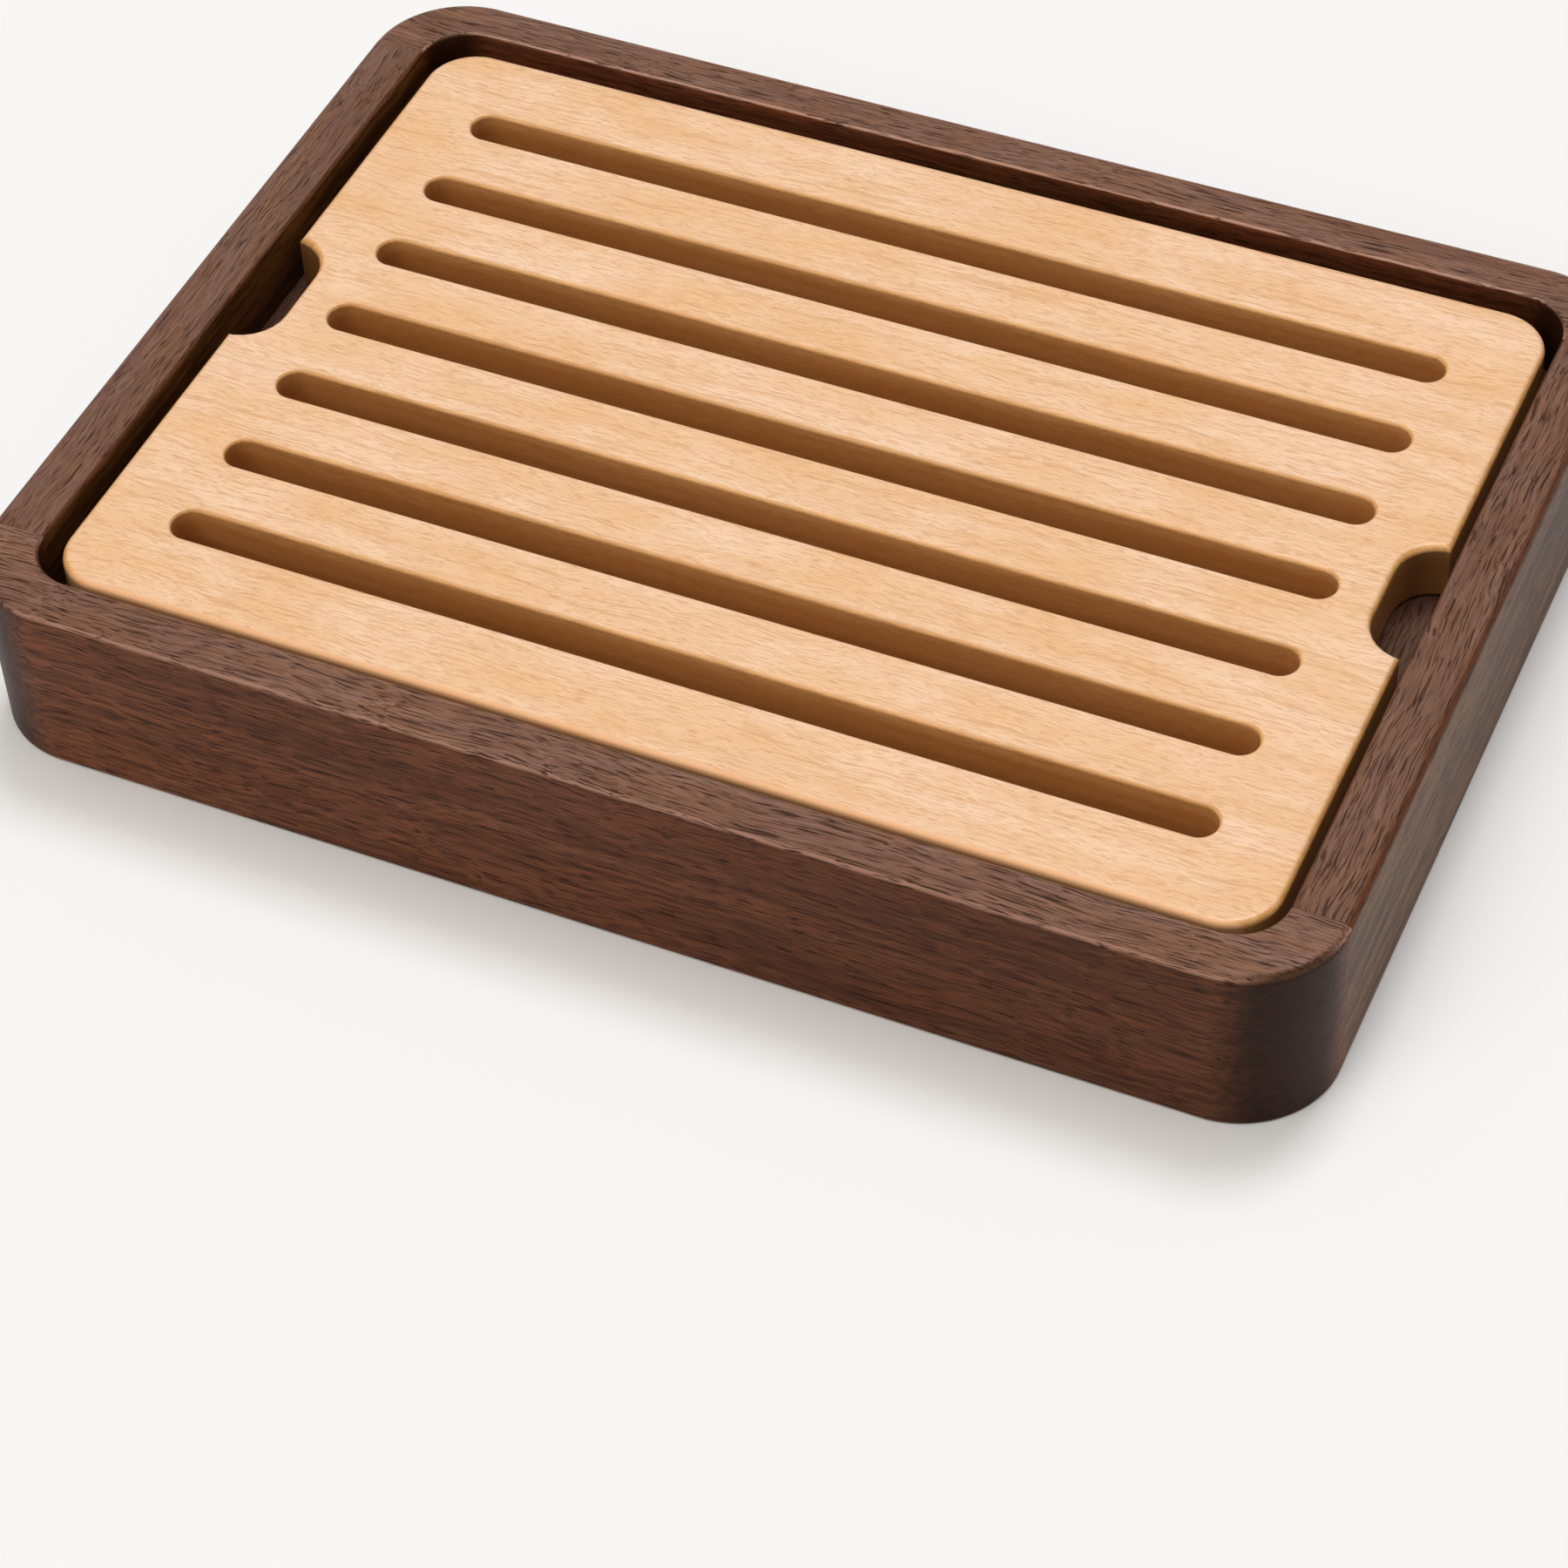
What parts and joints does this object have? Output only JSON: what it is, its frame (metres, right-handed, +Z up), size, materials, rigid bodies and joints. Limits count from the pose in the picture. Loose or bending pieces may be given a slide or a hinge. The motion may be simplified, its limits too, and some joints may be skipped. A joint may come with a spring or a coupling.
{
  "type": "bread board with crumb catcher",
  "caption": "Walnut tray of dowelled rails with a lift-out maple board, its long round-ended slots letting crumbs fall into the well below.",
  "frame": {"origin": "under the middle of the tray, on the surface that it stands on", "axes": "+X along the tray's length and the slots, +Y from the front rail to the back rail, +Z up"},
  "size_m": [0.36, 0.262, 0.0525],
  "materials": {
    "walnut": "oiled, open-pored",
    "maple": "oiled, close-grained",
    "dowel": "raw, glued"
  },
  "bodies": {
    "tray": {"front_rail": "walnut", "back_rail": "walnut", "left_rail": "walnut", "right_rail": "walnut", "bottom_panel": "walnut", "front_left_inner_dowel": "dowel", "front_left_outer_dowel": "dowel", "front_right_inner_dowel": "dowel", "front_right_outer_dowel": "dowel", "back_left_inner_dowel": "dowel", "back_left_outer_dowel": "dowel", "back_right_inner_dowel": "dowel", "back_right_outer_dowel": "dowel"},
    "board": {"slotted_board": "maple"}
  },
  "joints": [
    {"name": "board_lift", "type": "slide", "parent": "tray", "child": "board", "axis": [0, 0, 1], "range_m": [0, 0.05]}
  ]
}
